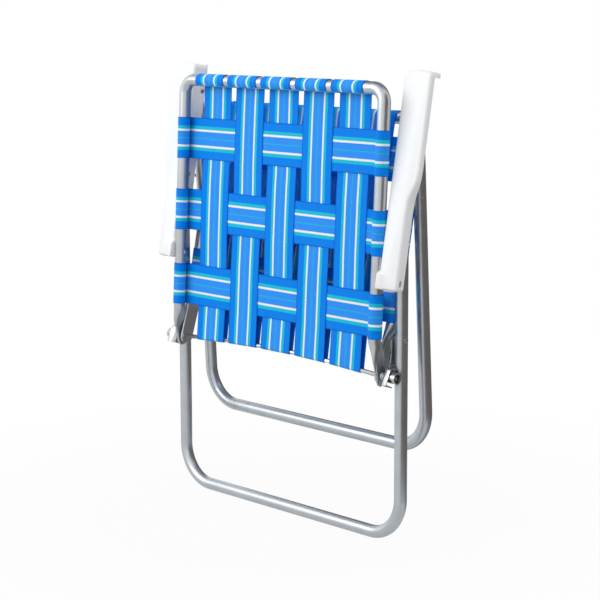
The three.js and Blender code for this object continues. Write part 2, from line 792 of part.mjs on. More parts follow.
// Outline of the arm seen from above, with x from the chair's middle and y towards the front
function armOutline(inset) {
  const inner = armInner + inset;
  const outer = armInner + armWidth - inset;
  const narrow = armInner + armNarrow - inset;
  const front = armFront - inset;
  const rear = -armRear + inset;
  const corner = armCorner - inset;
  const rearCorner = armRearRound - inset;
  const boss = armInner - backHalf - tubeRadius - bossGap;
  const quarter = Math.PI / 2;
  const ease = (armNarrowStart - armWideEnd) / 2;
  const shape = new THREE.Shape();
  shape.moveTo(inner - boss, rear + bossLength);
  shape.absarc(inner - boss + rearCorner, rear + rearCorner, rearCorner, Math.PI, 3 * quarter, false);
  shape.absarc(narrow - rearCorner, rear + rearCorner, rearCorner, -quarter, 0, false);
  shape.lineTo(narrow, -armNarrowStart);
  shape.bezierCurveTo(narrow, ease - armNarrowStart, outer, -armWideEnd - ease, outer, -armWideEnd);
  shape.lineTo(outer, front - armFrontBow - corner);
  shape.absarc(outer - corner, front - armFrontBow - corner, corner, 0, Math.PI / 2, false);
  shape.quadraticCurveTo((inner + outer) / 2, front + armFrontBow, inner + corner, front - armFrontBow);
  shape.absarc(inner + corner, front - armFrontBow - corner, corner, Math.PI / 2, Math.PI, false);
  shape.lineTo(inner, rear + bossLength + bossEase);
  return shape;
}

// Cutter that leaves the outer skirt shallow in front and deeper behind
function skirtCutter() {
  const fromX = armInner + armWall + clearance;
  const shape = new THREE.Shape();
  const front = armFront - armFrontBow - armCorner;
  shape.moveTo(front, -outerSkirtFront);
  shape.lineTo(-armWideEnd, -outerSkirtFront);
  shape.bezierCurveTo(
    -(armWideEnd + armNarrowStart) / 2, -outerSkirtFront,
    -(armWideEnd + armNarrowStart) / 2, -outerSkirtRear,
    -armNarrowStart, -outerSkirtRear,
  );
  shape.lineTo(-armRear - overrun, -outerSkirtRear);
  shape.lineTo(-armRear - overrun, -innerSkirt - overrun);
  shape.lineTo(front + frontWallTip, -innerSkirt - overrun);
  shape.absarc(
    front + frontWallTip, frontWallTip - frontWallDepth, frontWallTip, -Math.PI / 2, -Math.PI, true,
  );
  return sideExtrusion(shape, fromX, fromX + armWidth + overrun);
}

// Cutter that rounds the lower front edge of the front wall
function frontEdgeCutter() {
  const shape = new THREE.Shape();
  const centreY = armFront - frontWallTip;
  const centreZ = frontWallTip - frontWallDepth;
  shape.moveTo(armFront + overrun, centreZ);
  shape.absarc(centreY, centreZ, frontWallTip, 0, -Math.PI / 2, true);
  shape.lineTo(centreY, -innerSkirt - overrun);
  shape.lineTo(armFront + overrun, -innerSkirt - overrun);
  return sideExtrusion(shape, armInner - overrun, armInner + armWidth + overrun);
}

// Cutter that rounds the front wall's lower outer corner
function frontWallCutter() {
  const outer = armInner + armWidth;
  const shape = new THREE.Shape();
  shape.moveTo(outer + overrun, -frontWallDepth + frontWallRound);
  shape.lineTo(outer, -frontWallDepth + frontWallRound);
  shape.absarc(
    outer - frontWallRound, -frontWallDepth + frontWallRound, frontWallRound, 0, -Math.PI / 2, true,
  );
  shape.lineTo(armInner + armWall + clearance, -frontWallDepth);
  shape.lineTo(armInner + armWall + clearance, -innerSkirt - overrun);
  shape.lineTo(outer + overrun, -innerSkirt - overrun);
  const depth = armCorner + armFront + overrun;
  const settings = { depth, bevelEnabled: false, curveSegments: arcSteps };
  const geometry = new THREE.ExtrudeGeometry(shape, settings);
  geometry.applyMatrix4(new THREE.Matrix4().makeBasis(
    new THREE.Vector3(1, 0, 0), new THREE.Vector3(0, 0, 1), new THREE.Vector3(0, -1, 0),
  ));
  geometry.translate(0, armFront + overrun, 0);
  return geometry;
}

// Slot through the outer skirt near its rear end
function slotCutter() {
  const radius = slotWidth / 2;
  const reach = slotLength / 2 - radius;
  const centre = slotFromEnd - armRear;
  const wallX = armInner + armNarrow - armWall / 2;
  return roundBar(
    [centre - reach, -slotDepth], [centre + reach, -slotDepth], radius, wallX - overrun, wallX + overrun,
  );
}

// Moulded arm in its own frame: the face at z = 0, its front towards +y
function armGeometry() {
  const bodyDepth = innerSkirt + armEdgeRound + overrun;
  const body = new THREE.ExtrudeGeometry(armOutline(0), {
    depth: bodyDepth,
    bevelThickness: armEdgeRound,
    bevelSize: armEdgeRound,
    bevelOffset: -armEdgeRound,
    bevelSegments: domeSteps,
    curveSegments: arcSteps,
  });
  body.translate(0, 0, -bodyDepth - armEdgeRound);
  const cavity = new THREE.ExtrudeGeometry(armOutline(armWall), {
    depth: bodyDepth + overrun, bevelEnabled: false, curveSegments: arcSteps,
  });
  cavity.translate(0, 0, -bodyDepth - overrun - armWall);
  const below = new THREE.BoxGeometry(
    armWidth + 2 * overrun, armFront + armRear + 2 * overrun, bodyDepth,
  );
  below.translate(armInner + armWidth / 2, (armFront - armRear) / 2, -innerSkirt - bodyDepth / 2);
  const cutters = [skirtCutter(), frontWallCutter(), frontEdgeCutter(), slotCutter()];
  return cut(body, [cavity, below, ...cutters]);
}

function addArms() {
  const placed = armGeometry();
  placed.rotateX(Math.PI / 2 - armLean);
  placed.translate(0, armFrontPivot[0] - armBehindFrontPivot, armFrontPivot[1] + armAboveFrontPivot);
  const hole = rivetRadius + clearance;
  const holes = [armRearPivot, armFrontPivot, armBackPivot].map((point) => {
    return crossCylinder(hole, armInner - overrun, skirtOuter + overrun, point);
  });
  addPair('arm', cut(placed, holes), plastic);
}

addLegs();
addLeaves();
addArms();
addWebs();
addRod();
addLinks();
addNuts();
addFasteners();

// The origin lies under the middle of the folded chair, on the ground
const bounds = new THREE.Box3().setFromObject(chair, true);
chair.position.set(0, -(bounds.min.y + bounds.max.y) / 2, -bounds.min.z);

export default chair;
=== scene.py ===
import math
import bpy
from mathutils import Matrix, Vector


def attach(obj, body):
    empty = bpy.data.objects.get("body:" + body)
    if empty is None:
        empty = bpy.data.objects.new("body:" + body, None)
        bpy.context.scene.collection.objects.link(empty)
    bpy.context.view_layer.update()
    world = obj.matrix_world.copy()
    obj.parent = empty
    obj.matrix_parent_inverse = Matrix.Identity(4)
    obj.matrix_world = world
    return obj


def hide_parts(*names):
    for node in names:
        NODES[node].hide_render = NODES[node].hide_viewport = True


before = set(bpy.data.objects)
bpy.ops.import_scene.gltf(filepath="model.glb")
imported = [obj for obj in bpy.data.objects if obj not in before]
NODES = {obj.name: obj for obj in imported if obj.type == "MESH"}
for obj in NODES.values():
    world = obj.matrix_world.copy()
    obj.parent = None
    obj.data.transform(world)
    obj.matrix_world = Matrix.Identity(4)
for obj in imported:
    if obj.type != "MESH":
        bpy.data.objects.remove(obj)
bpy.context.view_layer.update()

# The photograph is seen from behind the folded chair and to its right, a little above
# its middle, with a long lens. The camera stands where that view was solved to.
LOOKED_AT = Vector((0.03645, -0.01543, 0.3965))
DISTANCE = 3.26075
TURN, RISE, ROLL = math.radians(47.37), math.radians(9.19), math.radians(-0.136)

camera_data = bpy.data.cameras.new("photo_camera")
camera_data.sensor_fit = "HORIZONTAL"
camera_data.sensor_width = 36.0
camera_data.lens = 109.93
camera_data.clip_end = 50.0
camera = bpy.data.objects.new("photo_camera", camera_data)
bpy.context.scene.collection.objects.link(camera)
forward = Vector((-math.sin(TURN) * math.cos(RISE), math.cos(TURN) * math.cos(RISE), -math.sin(RISE)))
level = Vector((math.cos(TURN), math.sin(TURN), 0.0))
upright = level.cross(forward)
right = math.cos(ROLL) * level + math.sin(ROLL) * upright
upward = -math.sin(ROLL) * level + math.cos(ROLL) * upright
camera_matrix = Matrix((right, upward, -forward)).transposed().to_4x4()
camera_matrix.translation = LOOKED_AT - DISTANCE * forward
camera.matrix_world = camera_matrix
bpy.context.scene.camera = camera

# The studio is a sheet of white paper under an even white sky. A wide soft window hangs to the
# camera's left. Three grey cards glow, unlit, and only mirror reflections see them: they are
# painted reflections that give bare metal its dark side.
SKY_LIGHT = 0.84
SKY_SEEN = 1.0
WINDOW_PLACE = Vector((-1.3, -2.4, 1.85))
WINDOW_AIM = Vector((0.0, 0.0, 0.75))


def deselect():
    """Leaves nothing selected and no mesh in edit mode."""
    if bpy.context.mode != "OBJECT":
        bpy.ops.object.mode_set(mode="OBJECT")
    bpy.ops.object.select_all(action="DESELECT")


def linear(hex_colour):
    """An sRGB hex colour as the linear RGBA that the shader reads."""
    channels = [int(hex_colour[i:i + 2], 16) / 255 for i in (1, 3, 5)]
    return [c / 12.92 if c <= 0.04045 else ((c + 0.055) / 1.055) ** 2.4 for c in channels] + [1.0]


def node(tree, kind, links=None, **settings):
    """Adds one shader node with its settings, its socket values and the links into it."""
    made = tree.nodes.new(kind)
    for key, value in settings.items():
        if key in made.inputs:
            made.inputs[key].default_value = value
        else:
            setattr(made, key, value)
    for socket, source in (links or {}).items():
        tree.links.new(source, made.inputs[socket])
    return made


def finish_material(name):
    """An empty node material, its tree and its shader, which is wired to the surface."""
    material = bpy.data.materials.new(name)
    material.use_nodes = True
    tree = material.node_tree
    tree.nodes.clear()
    shader = tree.nodes.new("ShaderNodeBsdfPrincipled")
    output = tree.nodes.new("ShaderNodeOutputMaterial")
    tree.links.new(shader.outputs["BSDF"], output.inputs["Surface"])
    return material, tree, shader


bpy.context.scene.view_settings.view_transform = "Standard"
world = bpy.data.worlds.new("studio")
bpy.context.scene.world = world
world.use_nodes = True
sky = world.node_tree
sky.nodes.clear()
paths = node(sky, "ShaderNodeLightPath")
direct = node(sky, "ShaderNodeMath", {0: paths.outputs["Is Camera Ray"]}, operation="MAXIMUM")
sky.links.new(paths.outputs["Is Transmission Ray"], direct.inputs[1])
seen = node(sky, "ShaderNodeMath", {0: direct.outputs[0]}, operation="MAXIMUM")
sky.links.new(paths.outputs["Is Glossy Ray"], seen.inputs[1])
soft = node(sky, "ShaderNodeBackground", Color=linear("#FFFFFF"), Strength=SKY_LIGHT)
plain = node(sky, "ShaderNodeBackground", Color=linear("#FFFFFF"), Strength=SKY_SEEN)
both = node(sky, "ShaderNodeMixShader", {0: seen.outputs[0], 1: soft.outputs[0], 2: plain.outputs[0]})
sky.links.new(both.outputs[0], node(sky, "ShaderNodeOutputWorld").inputs["Surface"])

lamp = bpy.data.lights.new("window", "AREA")
lamp.shape = "RECTANGLE"
lamp.size = 2.4
lamp.size_y = 1.7
lamp.energy = 36.0
lamp.color = (0.94, 0.97, 1.0)
window = bpy.data.objects.new("window", lamp)
bpy.context.scene.collection.objects.link(window)
window_turn = (WINDOW_AIM - WINDOW_PLACE).to_track_quat("-Z", "Y").to_matrix().to_4x4()
window.matrix_world = Matrix.Translation(WINDOW_PLACE) @ window_turn


def card(piece, name, tone):
    """A card that glows at one plain grey level, lit by nothing, which only mirror reflections see: a painted
    reflection.
    """
    piece.name = name
    reflection_glow, tree, shader = finish_material(name + "_cloth")
    shader.inputs["Base Color"].default_value = linear("#000000")
    shader.inputs["Specular IOR Level"].default_value = 0.0
    shader.inputs["Emission Color"].default_value = linear(tone)
    shader.inputs["Emission Strength"].default_value = 1.0
    piece.data.materials.append(reflection_glow)
    piece.visible_camera = False
    piece.visible_diffuse = False
    piece.visible_transmission = False
    piece.visible_shadow = False


# The flag is a curved screen that leans outwards. It runs from beside the camera round the far
# side of the chair, by angles in degrees from straight behind the chair. The canopy hangs over
# that side, and the mat lies on the paper to the chair's right.
FLAG_MIDDLE, FLAG_SPREAD = 147.5, 87.5
FLAG_REACH, FLAG_FLARE = 0.62, 1.4
FLAG_FOOT, FLAG_HEIGHT = 0.002, 2.4
deselect()
bpy.ops.mesh.primitive_grid_add(x_subdivisions=24, y_subdivisions=1, size=2.0)
for point in bpy.context.object.data.vertices:
    around, up = math.radians(FLAG_MIDDLE + FLAG_SPREAD * point.co.x), (point.co.y + 1) / 2
    reach = FLAG_REACH + FLAG_FLARE * up
    point.co = (reach * math.sin(around), -reach * math.cos(around), FLAG_FOOT + FLAG_HEIGHT * up)
# Each card's grey is a glow, not a lit colour: a painted reflection in the metal.
card(bpy.context.object, "flag", "#756F6A")
deselect()
bpy.ops.mesh.primitive_plane_add(size=3.2, location=(-0.8, 1.2, 2.4))
card(bpy.context.object, "canopy", "#8C9197")
deselect()
bpy.ops.mesh.primitive_plane_add(size=1.6, location=(0.55, 0.9, 0.001))
card(bpy.context.object, "mat", "#8F969E")

# The floor is white matt paper. To the camera it glows nearly white and takes a faint shadow
# near the chair, which fades to none. In mirror reflections half of it glows and half is lit.
SHADOW_REACH = 0.35, 1.0
GLOW_UNDER_CHAIR = 0.955
GLOW_IN_METAL = 0.5
deselect()
bpy.ops.mesh.primitive_plane_add(size=14.0, location=(0.0, 0.0, 0.0))
floor = bpy.context.object
floor.name = "floor"
paper, tree, shader = finish_material("white_paper")
shader.inputs["Base Color"].default_value = linear("#B4B4B4")
shader.inputs["Roughness"].default_value = 0.9
shader.inputs["Specular IOR Level"].default_value = 0.0
paths = node(tree, "ShaderNodeLightPath")
place = node(tree, "ShaderNodeTexCoord")
far = node(tree, "ShaderNodeVectorMath", {0: place.outputs["Object"]}, operation="LENGTH")
fade = node(tree, "ShaderNodeMapRange", {0: far.outputs["Value"]})
fade.inputs["From Min"].default_value = SHADOW_REACH[0]
fade.inputs["From Max"].default_value = SHADOW_REACH[1]
fade.inputs["To Min"].default_value = GLOW_UNDER_CHAIR
fade.inputs["To Max"].default_value = 1.0
glow = node(tree, "ShaderNodeEmission", Color=linear("#FFFFFF"), Strength=1.0)
looked = node(tree, "ShaderNodeMath", {0: paths.outputs["Is Camera Ray"], 1: fade.outputs[0]},
              operation="MULTIPLY")
share = node(tree, "ShaderNodeMath", {0: paths.outputs["Is Glossy Ray"], 2: looked.outputs[0]},
             operation="MULTIPLY_ADD")
share.inputs[1].default_value = GLOW_IN_METAL
mix = node(tree, "ShaderNodeMixShader", {0: share.outputs[0], 1: shader.outputs[0], 2: glow.outputs[0]})
tree.links.new(mix.outputs[0], tree.nodes["Material Output"].inputs["Surface"])
floor.data.materials.append(paper)

# The four frames are 7/8 in aluminium tube, cold drawn, cut and bent cold, with no coating.
# The legs end inside the arms, and the back's and the seat's ends are pressed flat to hinge.
# Places in the side view are millimetres forwards of the rear leg's bar and above it.
SHIFT = Vector((0.0, -0.01543, 0.0111))
TUBE = 0.0111
WALL = 0.0012
TUBE_FACETS = 40
BEND_STEPS = 24
TUBE_SMOOTH = math.radians(40)
CLOSE, TUBE_MERGE, MIRROR_MERGE = 0.00001, 0.00002, 0.0001
BACK_HALF, SEAT_HALF = 0.2602, 0.2630
BACK_BAR, SEAT_BAR = (-14, 767.3), (66.6, 714)
BACK_LEAN, SEAT_LEAN = 0.052, 0.183
# A pressed end's broad sides sink in by this share, in full where half its width is this much
# more than half its thickness.
SUNKEN, SUNKEN_AT = 0.16, 0.008


def side_point(x, y, z):
    """A point of the side view in millimetres, as a place in metres."""
    return Vector((x, y, z)) / 1000 + SHIFT


def per_metre(millimetres):
    """A pattern's scale from the size of one of its marks."""
    return 1000 / millimetres


aluminium, tree, shader = finish_material("drawn_aluminium")
# Bare aluminium has gone satin grey: bright along the light, and dark towards its edges where it
# mirrors the glowing grey cards, a painted reflection. Its draw lines are a millimetre wide, coarser
# than real ones, and the handling marks an inch.
place = node(tree, "ShaderNodeTexCoord")
stretch = node(tree, "ShaderNodeMapping", {"Vector": place.outputs["Object"]},
               Scale=(per_metre(1.1111), per_metre(1.1111), per_metre(16.667)))
lines = node(tree, "ShaderNodeTexNoise", {"Vector": stretch.outputs[0]}, Scale=1.0, Detail=3.0)
cloud = node(tree, "ShaderNodeTexNoise", {"Vector": place.outputs["Object"]},
             Scale=per_metre(26.316), Detail=4.0)
tone = node(tree, "ShaderNodeValToRGB", {0: cloud.outputs[0]})
tone.color_ramp.elements[0].color = linear("#C3C8CD")
tone.color_ramp.elements[1].color = linear("#CCD1D6")
tone.color_ramp.elements[0].position = 0.3
tone.color_ramp.elements[1].position = 0.7
tree.links.new(tone.outputs[0], shader.inputs["Base Color"])
rough = node(tree, "ShaderNodeMapRange", {0: lines.outputs[0]})
rough.inputs["To Min"].default_value = 0.31
rough.inputs["To Max"].default_value = 0.37
tree.links.new(rough.outputs[0], shader.inputs["Roughness"])
dents = node(tree, "ShaderNodeBump", {"Height": lines.outputs[0]}, Strength=0.02, Distance=0.0002)
tree.links.new(dents.outputs[0], shader.inputs["Normal"])
shader.inputs["Metallic"].default_value = 1.0


def press_ring(centre, across, along, tilt):
    """Extrudes the selected ring and lays it out flatter, with its broad sides a little sunken."""
    bpy.ops.mesh.extrude_region_move()
    bpy.ops.object.mode_set(mode="OBJECT")
    ring = [point for point in bpy.context.object.data.vertices if point.select]
    middle = sum((point.co for point in ring), Vector()) / len(ring)
    widest = max(abs(point.co.x - middle.x) for point in ring)
    deepest = max(abs(point.co.y - middle.y) for point in ring)
    turned = Matrix.Rotation(tilt, 3, "X")
    sunken = SUNKEN * min(1.0, (along - across) / SUNKEN_AT)
    for point in ring:
        x, y = (point.co.x - middle.x) / widest, (point.co.y - middle.y) / deepest
        x *= 1 - sunken * (0.5 + 0.5 * math.cos(math.pi * min(1.0, abs(y))))
        point.co = centre + turned @ Vector((x * across, y * along, 0.0))
    bpy.ops.object.mode_set(mode="EDIT")


def tube_frame(name, node_name, body, half, bend, bar, lean, leg_end, up=False, pressed=()):
    """Bends half a U frame from its leg's end to its bar's middle and mirrors it.

    The legs rise from the bar or hang from it. leg_end is their length from the bar's axis.
    """
    deselect()
    way = 1 if up else -1
    bpy.ops.mesh.primitive_circle_add(vertices=TUBE_FACETS, radius=TUBE, location=(half, 0.0, way * leg_end))
    piece = bpy.context.object
    piece.name = name
    bpy.ops.object.transform_apply(location=True, rotation=True, scale=True)
    bpy.ops.object.mode_set(mode="EDIT")
    bpy.ops.mesh.select_all(action="SELECT")
    bpy.ops.mesh.extrude_region_move(TRANSFORM_OT_translate={"value": (0, 0, way * (bend - leg_end))})
    bpy.ops.mesh.spin(steps=BEND_STEPS, angle=-way * math.pi / 2, center=(half - bend, 0, way * bend),
                      axis=(0, 1, 0))
    bpy.ops.mesh.extrude_region_move(TRANSFORM_OT_translate={"value": (bend - half, 0, 0)})
    bpy.ops.object.mode_set(mode="OBJECT")
    foot = [point.index for point in piece.data.vertices if abs(point.co.z - way * leg_end) < CLOSE]
    piece.data.transform(Matrix.Rotation(way * math.atan(lean), 4, "X"))
    piece.data.transform(Matrix.Translation(side_point(0, *bar)))
    if pressed:
        for point in piece.data.vertices:
            point.select = point.index in foot
        for edge in piece.data.edges:
            edge.select = all(end in foot for end in edge.vertices)
        bpy.ops.object.mode_set(mode="EDIT")
        bpy.ops.mesh.select_mode(type="VERT")
        for x, y, z, across, along, tilt in pressed:
            press_ring(side_point(x, y, z), across / 1000, along / 1000, tilt)
        bpy.ops.object.mode_set(mode="OBJECT")
    mirror = piece.modifiers.new("other_leg", "MIRROR")
    mirror.merge_threshold = MIRROR_MERGE
    bpy.ops.object.modifier_apply(modifier="other_leg")
    bpy.ops.object.mode_set(mode="EDIT")
    bpy.ops.mesh.select_all(action="SELECT")
    bpy.ops.mesh.remove_doubles(threshold=TUBE_MERGE)
    bpy.ops.mesh.normals_make_consistent(inside=False)
    bpy.ops.object.mode_set(mode="OBJECT")
    wall = piece.modifiers.new("wall", "SOLIDIFY")
    wall.thickness = WALL
    wall.offset = -1.0
    bpy.ops.object.modifier_apply(modifier="wall")
    bpy.ops.object.shade_smooth_by_angle(angle=TUBE_SMOOTH)
    piece.data.materials.clear()
    piece.data.materials.append(aluminium)
    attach(piece, body)
    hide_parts(node_name)


def on_path(path, rows):
    """Rings of a pressed end, each tilted as its stretch of the side view's path is."""
    rings = []
    for z, x, across, along in rows:
        for (y0, z0), (y1, z1) in zip(path, path[1:]):
            if z >= z1 or (y1, z1) == path[-1]:
                slope = (y1 - y0) / (z0 - z1)
                rings.append((x, y0 + (z0 - z) * slope, z, across, along, math.atan(slope)))
                break
    return rings


# Each ring of a pressed end has its height, its distance from the chair's middle, half its
# thickness and half its width, in millimetres, down from the round tube to the rounded tip.
BACK_PRESS = [
    (343, 260.7, 11.0, 11.2), (339, 261.5, 10.6, 11.5), (335, 262.5, 9.8, 12.0), (331, 263.4, 8.7, 12.6),
    (327, 264.2, 7.4, 13.2), (323, 264.8, 6.0, 13.8), (319, 265.2, 4.8, 14.2), (315, 265.4, 3.8, 14.4),
    (311, 265.5, 3.0, 14.4), (306, 265.6, 2.5, 14.1), (300, 265.6, 2.25, 13.6), (292, 265.6, 2.2, 12.9),
    (283, 265.6, 2.2, 12.3), (277, 265.6, 2.2, 11.8), (273, 265.6, 2.2, 10.9), (270.4, 265.6, 2.2, 9.4),
    (269, 265.6, 2.2, 7.6), (268.2, 265.6, 2.2, 5.2),
]
SEAT_PRESS = [
    (370, 262.8, 11.0, 11.2), (366, 262.3, 10.4, 11.6), (362, 261.7, 9.4, 12.2), (358, 261.0, 8.1, 12.8),
    (354, 260.4, 6.7, 13.4), (350, 259.9, 5.3, 13.9), (346, 259.6, 4.1, 14.2), (342, 259.4, 3.2, 14.4),
    (337, 259.4, 2.5, 14.3), (331, 259.4, 2.2, 14.1), (310, 259.4, 2.2, 14.0), (284, 259.4, 2.2, 14.0),
    (279, 259.4, 2.2, 13.2), (276, 259.4, 2.2, 11.8), (274.4, 259.4, 2.2, 10.0), (273.5, 259.4, 2.2, 7.6),
]
BACK_PATH = [(-35.86, 347), (-23.33, 268.2)]
SEAT_PATH = [(3.83, 371), (-0.2, 349), (-23.56, 273.5)]
tube_frame("rear_leg_tube", "rear_leg", "rear_legs", half=0.2884, bend=0.070, bar=(0, 0), lean=0.0,
           leg_end=0.597, up=True)
tube_frame("front_leg_tube", "front_leg", "front_legs", half=0.2866, bend=0.068, bar=(66.5, 145), lean=0.051,
           leg_end=0.6068, up=True)
tube_frame("back_tube", "back_frame", "back", half=BACK_HALF, bend=0.025, bar=BACK_BAR, lean=BACK_LEAN,
           leg_end=0.42087, pressed=on_path(BACK_PATH, BACK_PRESS))
tube_frame("seat_tube", "seat_frame", "seat", half=SEAT_HALF, bend=0.032, bar=SEAT_BAR, lean=SEAT_LEAN,
           leg_end=0.34870, pressed=on_path(SEAT_PATH, SEAT_PRESS))

# The webbing is 3 in polypropylene tape, woven with coloured edges: blue with teal and
# white pinstripes. It is pulled taut, interlaced, and turned round the tubes and the rod.
# Sizes are in metres and turns in degrees. Places in the side view are in millimetres, and so
# are the rod's rise and the tapes' distance from its axis.
WEB = 0.0762
TAPE = 0.0008
WRAP = 0.0118
WEAVE = 0.00055
PITCH = 0.09007
COLUMNS = [PITCH * place for place in (-2, -1, 0, 1, 2)]
BACK_ROWS = [660.3, 527.2, 387.3]
SEAT_ROWS = [643, 520, 410]
BAR_WRAP, SIDE_WRAP = 228, 285
HINGE = (-24.0, 285.0)
ROD_HALF = 0.2569
ROD_RISE = 10.0
ROD_WRAP = 4.6
BACK_ON_ROD, SEAT_ON_ROD = (170, 252), (2, -4)
STRIPS, WRAP_STEPS, EASE_STEPS, ROD_STEPS = 12, 26, 8, 12
SPACING = 0.003
TAPE_SMOOTH = math.radians(50)

webbing, tree, shader = finish_material("polypropylene_webbing")
# The stripes run with the tape's length. Its ribs are 1.6 mm apart here, a little coarser
# than the real picks, so that they show, and its sheen is the waxy one of polypropylene.
RIB = 1.6
WARP_ENDS = 48
tape = node(tree, "ShaderNodeUVMap", uv_map="tape")
parts = node(tree, "ShaderNodeSeparateXYZ", {0: tape.outputs[0]})
stripes = node(tree, "ShaderNodeValToRGB", {0: parts.outputs[0]})
ramp = stripes.color_ramp
ramp.interpolation = "CONSTANT"
# Each band of the stripes starts at a share of the tape's width.
BANDS = [
    (0.0, "#006CD8"), (0.02, "#0086F2"), (0.20, "#1EC2E0"), (0.285, "#F5F5FA"), (0.335, "#3397FB"),
    (0.49, "#1EC2E0"), (0.51, "#3397FB"), (0.665, "#F5F5FA"), (0.715, "#1EC2E0"), (0.80, "#0086F2"),
    (0.98, "#006CD8"),
]
while len(ramp.elements) < len(BANDS):
    ramp.elements.new(0.5)
# A stop that moves can change the order of the stops, so the colours wait until all are placed.
for stop, band in zip(ramp.elements, BANDS):
    stop.position = band[0]
for stop, band in zip(ramp.elements, BANDS):
    stop.color = linear(band[1])
threads = node(tree, "ShaderNodeMath", {0: parts.outputs[1]}, operation="MULTIPLY")
threads.inputs[1].default_value = 2 * math.pi * per_metre(RIB)
ribs = node(tree, "ShaderNodeMath", {0: threads.outputs[0]}, operation="SINE")
warp = node(tree, "ShaderNodeMath", {0: parts.outputs[0]}, operation="MULTIPLY")
warp.inputs[1].default_value = 2 * math.pi * WARP_ENDS
cords = node(tree, "ShaderNodeMath", {0: warp.outputs[0]}, operation="SINE")
weave_height = node(tree, "ShaderNodeMath", {0: ribs.outputs[0], 1: cords.outputs[0]}, operation="MULTIPLY")
place = node(tree, "ShaderNodeTexCoord")
fibres = node(tree, "ShaderNodeTexNoise", {"Vector": place.outputs["Object"]},
              Scale=per_metre(3.8462), Detail=2.0)
shade = node(tree, "ShaderNodeMapRange", {0: fibres.outputs[0]})
shade.inputs["To Min"].default_value = 0.90
shade.inputs["To Max"].default_value = 1.08
tinted = node(tree, "ShaderNodeVectorMath", {0: stripes.outputs[0]}, operation="SCALE")
tree.links.new(shade.outputs[0], tinted.inputs["Scale"])
tree.links.new(tinted.outputs[0], shader.inputs["Base Color"])
surface = node(tree, "ShaderNodeBump", {"Height": weave_height.outputs[0]}, Strength=0.25, Distance=0.0003)
tree.links.new(surface.outputs[0], shader.inputs["Normal"])
shader.inputs["Roughness"].default_value = 0.5
shader.inputs["Specular IOR Level"].default_value = 0.08


def web_tape(name, node_name, body, edges):
    """Lays a tape between the lines of its two edges, from a grid, and gives it a thickness."""
    left_edge, right_edge, lengths = edges
    rows = len(left_edge) - 1
    deselect()
    bpy.ops.mesh.primitive_grid_add(x_subdivisions=STRIPS, y_subdivisions=rows, size=2.0)
    piece = bpy.context.object
    piece.name = name
    mesh = piece.data
    mesh.uv_layers[0].name = "tape"
    where = {}
    for point in mesh.vertices:
        x, y = (point.co.x + 1) / 2, (point.co.y + 1) / 2
        where[point.index] = (round(x * STRIPS) / STRIPS, round(y * rows))
    for point in mesh.vertices:
        across, row = where[point.index]
        point.co = left_edge[row].lerp(right_edge[row], across)
    for loop in mesh.loops:
        across, row = where[loop.vertex_index]
        mesh.uv_layers["tape"].data[loop.index].uv = (across, lengths[row])
    wall = piece.modifiers.new("thickness", "SOLIDIFY")
    wall.thickness = TAPE
    wall.offset = 0.0
    bpy.ops.object.modifier_apply(modifier="thickness")
    bpy.ops.object.shade_smooth_by_angle(angle=TAPE_SMOOTH)
    mesh.materials.clear()
    mesh.materials.append(webbing)
    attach(piece, body)
    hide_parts(node_name)


def wrap_arc(start, stop):
    """Points round a tube, from the sitting side over the outer side, as (outwards, off)."""
    angles = [math.radians(start + (stop - start) * step / WRAP_STEPS) for step in range(WRAP_STEPS + 1)]
    return [(WRAP * math.sin(angle), WRAP * math.cos(angle)) for angle in angles]


def eased(line, step_places):
    """Puts soft S-curves in place of the sharp steps between over and under."""
    soft_line = []
    for place, (along, off) in enumerate(line):
        soft_line.append((along, off))
        if place + 1 < len(line) and place in step_places:
            next_along, next_off = line[place + 1]
            for step in range(1, EASE_STEPS):
                t = step / EASE_STEPS
                rise = t * t * (3 - 2 * t)
                soft_line.append((along + (next_along - along) * t, off + (next_off - off) * rise))
    return soft_line


class Leaf:
    """The plane of the back or of the seat, whose sitting side faces forwards (1) or backwards (-1)."""

    def __init__(self, bar, lean, side):
        slant = math.atan(lean)
        self.bar = bar
        self.run = Vector((0.0, -math.sin(slant), -math.cos(slant)))
        self.off = Vector((0.0, math.cos(slant), -math.sin(slant))) * side

    def at(self, x, along, off):
        """A place x across the chair, along the legs from the bar and off the plane, in metres."""
        return side_point(0, *self.bar) + Vector((x, 0.0, 0.0)) + self.run * along + self.off * off

    def along(self, z):
        """How far along the legs a height in the side view is."""
        return (z - self.bar[1]) / 1000 / self.run.z


BACK = Leaf(BACK_BAR, BACK_LEAN, 1)
SEAT = Leaf(SEAT_BAR, SEAT_LEAN, -1)


def rod_height(x):
    """The rod's axis in the side view: the taut tapes bow it up in the middle."""
    return HINGE[1] + ROD_RISE * (1 - (x / ROD_HALF) ** 2)


def match_edges(left_line, right_line):
    """Puts the same number of points on both edges, and measures along the left one."""
    left_edge, right_edge = [left_line[0]], [right_line[0]]
    for a0, a1, b0, b1 in zip(left_line, left_line[1:], right_line, right_line[1:]):
        count = max(1, round((a1 - a0).length / SPACING))
        for step in range(1, count + 1):
            left_edge.append(a0.lerp(a1, step / count))
            right_edge.append(b0.lerp(b1, step / count))
    lengths = [0.0]
    for before, after in zip(left_edge, left_edge[1:]):
        lengths.append(lengths[-1] + (after - before).length)
    return left_edge, right_edge, lengths


